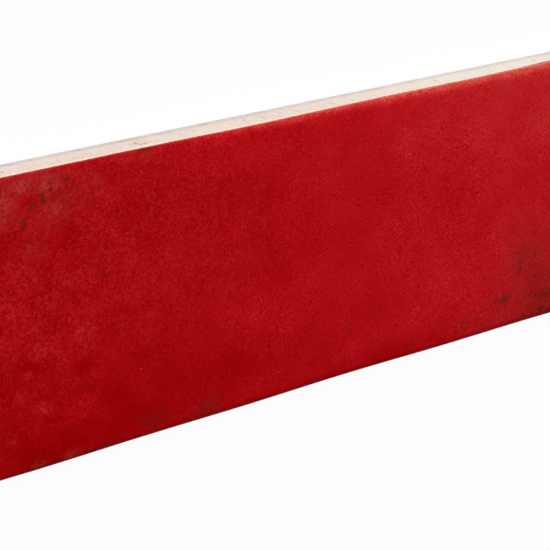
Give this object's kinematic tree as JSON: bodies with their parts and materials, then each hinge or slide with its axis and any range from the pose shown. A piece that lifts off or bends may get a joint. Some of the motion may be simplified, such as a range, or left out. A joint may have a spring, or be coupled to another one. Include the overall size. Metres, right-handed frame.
{
  "type": "ceramic wall tile",
  "caption": "Flat oblong wall tile with a gently waved glazed face that rounds over at its sides, bare upright walls that lean in at the foot, and a back grooved for adhesive.",
  "frame": {"origin": "middle of the back, on the surface that the tile lies on", "axes": "+X along the tile's length, +Y across its width, +Z out of the glazed face"},
  "size_m": [0.2, 0.065, 0.0085],
  "materials": {
    "glaze": "deep red glaze, glossy over soft waves, with darker brown clouds and specks",
    "bisque": "bare pale cream fired clay, matt, with faint scratches"
  },
  "bodies": {
    "root": {"tile": "glaze"}
  },
  "joints": []
}
